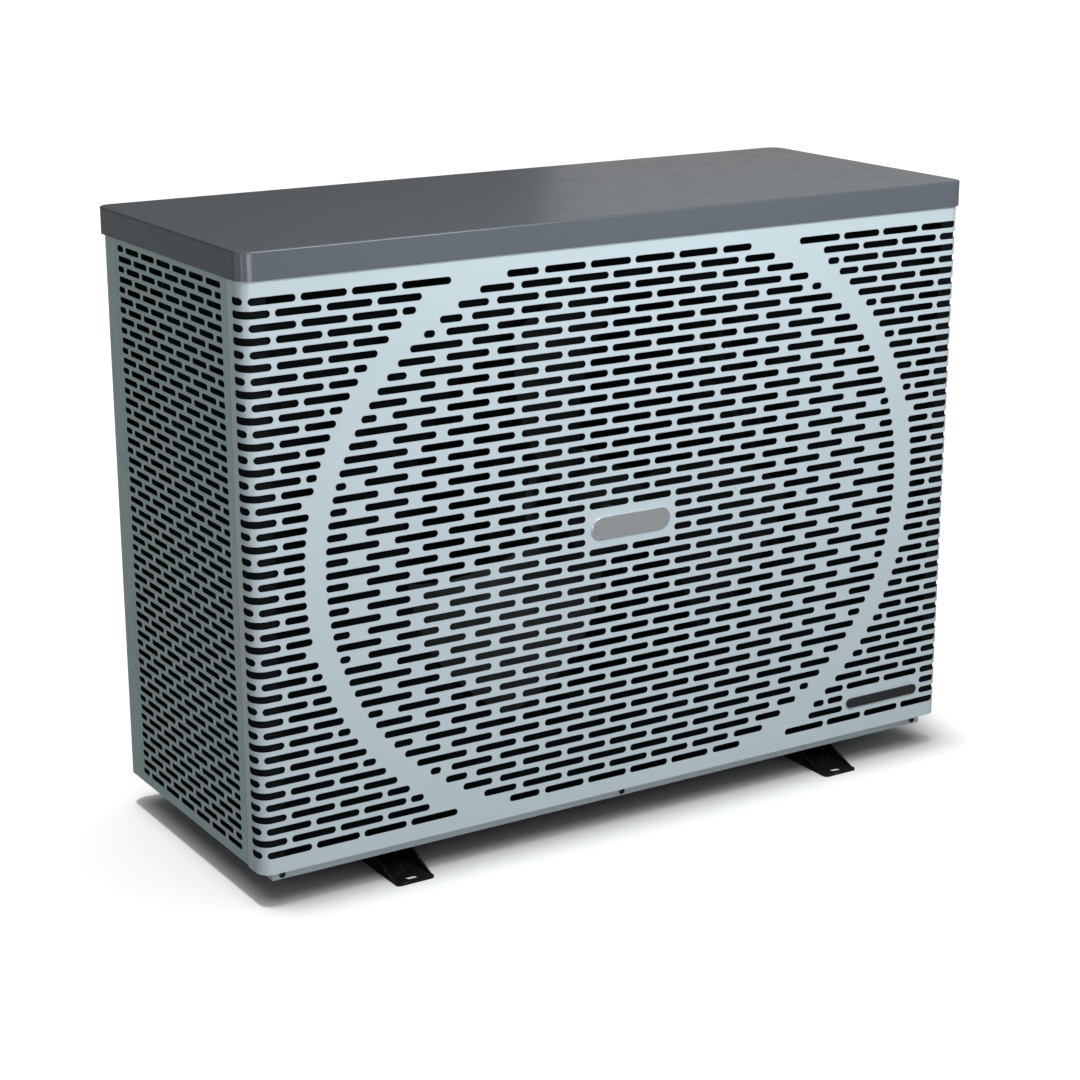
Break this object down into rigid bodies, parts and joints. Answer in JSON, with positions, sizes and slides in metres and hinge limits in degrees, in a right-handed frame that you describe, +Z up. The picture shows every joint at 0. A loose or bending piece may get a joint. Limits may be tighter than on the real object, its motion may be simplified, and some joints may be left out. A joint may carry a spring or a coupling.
{
  "type": "pool and spa heat pump",
  "caption": "Free-standing outdoor pool and spa heat pump: slotted casing with an overhanging lid, side-discharge fan, water unions and foot rails.",
  "frame": {"origin": "on the floor, midway between the four slotted foot holes", "axes": "+X right, along the width; the front grille faces -Y; +Z up"},
  "size_m": [1.155, 0.4754, 0.8141],
  "materials": {
    "front_paint": "fine satin powder coat, light bluish silver",
    "side_paint": "fine satin powder coat, grey-silver",
    "cover_paint": "fine textured powder coat, dark grey",
    "black_steel": "black powder coat",
    "black_lining": "dead matt black coat",
    "zinc_steel": "galvanised",
    "motor_paint": "grey enamel",
    "compressor_paint": "black enamel",
    "fin_aluminium": "plain fin stock",
    "copper": "drawn copper",
    "brass": "machined brass",
    "titanium": "drawn titanium",
    "rubber": "moulded",
    "black_plastic": "moulded, fine texture",
    "shell_plastic": "moulded PVC",
    "union_plastic": "dark grey PVC",
    "nut_plastic": "moulded, blue-black",
    "circuit_board": "solder mask",
    "capacitor_sleeve": "shrink sleeve",
    "choke_core": "varnished",
    "screen_glass": "black glass",
    "smoked_plastic": "smoked clear",
    "needle_paint": "red",
    "clear_lens": "clear",
    "badge_metal": "satin",
    "gloss_black": "gloss",
    "dark_screw": "blackened"
  },
  "bodies": {
    "casing": {"front_panel": "front_paint", "corner_posts": "black_lining", "left_panel": "side_paint", "right_panel": "side_paint", "rear_panel": "side_paint", "rear_guard": "black_plastic", "top_cover": "cover_paint", "foot_left": "black_steel", "foot_right": "black_steel", "base_pan": "front_paint", "foot_rail_bolts": "zinc_steel", "fan_bulkhead": "black_lining", "fan_motor": "motor_paint", "motor_bracket": "black_steel", "evaporator_fins": "fin_aluminium", "evaporator_end_plates": "zinc_steel", "evaporator_return_bends": "copper", "partition": "zinc_steel", "compressor": "compressor_paint", "compressor_grommets": "rubber", "compressor_studs": "zinc_steel", "suction_accumulator": "compressor_paint", "terminal_cover": "black_plastic", "four_way_valve": "brass", "expansion_valve": "brass", "refrigerant_pipes": "copper", "evaporator_header": "copper", "exchanger_shell": "shell_plastic", "exchanger_stand": "black_plastic", "titanium_coil": "titanium", "union_bodies": "union_plastic", "union_seal_rings": "rubber", "union_tailpieces": "union_plastic", "flow_switch": "black_plastic", "electrical_box": "zinc_steel", "electrical_box_lid": "zinc_steel", "inverter_board": "circuit_board", "power_capacitors": "capacitor_sleeve", "filter_choke": "choke_core", "terminal_block": "nut_plastic", "heat_sink": "fin_aluminium", "controller_housing": "black_plastic", "controller_screen": "screen_glass", "flap_hinge_pin": "zinc_steel", "gauge_case": "zinc_steel", "gauge_lens": "clear_lens", "cable_gland": "black_plastic", "service_valve": "brass", "service_valve_cap": "brass", "drain_nozzle": "black_plastic", "badge_plate": "badge_metal", "model_plate": "gloss_black", "panel_screws": "dark_screw"},
    "fan": {"fan_impeller": "black_plastic", "fan_shaft": "zinc_steel", "fan_nut": "zinc_steel"},
    "inlet_nut": {"inlet_union_nut": "nut_plastic"},
    "outlet_nut": {"outlet_union_nut": "nut_plastic"},
    "flap": {"controller_flap": "smoked_plastic"},
    "needle": {"gauge_needle": "needle_paint"}
  },
  "joints": [
    {"name": "fan_spin", "type": "hinge", "parent": "casing", "child": "fan", "pos_m": [0, -0.115, 0.4119], "axis": [0, 1, 0], "continuous": true},
    {"name": "inlet_nut_turn", "type": "hinge", "parent": "casing", "child": "inlet_nut", "pos_m": [0.566, 0.112, 0.15], "axis": [1, 0, 0], "continuous": true},
    {"name": "outlet_nut_turn", "type": "hinge", "parent": "casing", "child": "outlet_nut", "pos_m": [0.566, 0.112, 0.52], "axis": [1, 0, 0], "continuous": true},
    {"name": "flap_hinge", "type": "hinge", "parent": "casing", "child": "flap", "pos_m": [0.556, -0.07, 0.735], "axis": [0, -1, 0], "range_deg": [0, 110]},
    {"name": "needle_turn", "type": "hinge", "parent": "casing", "child": "needle", "pos_m": [0.537, 0.112, 0.69], "axis": [1, 0, 0], "range_deg": [-75, 195]}
  ]
}
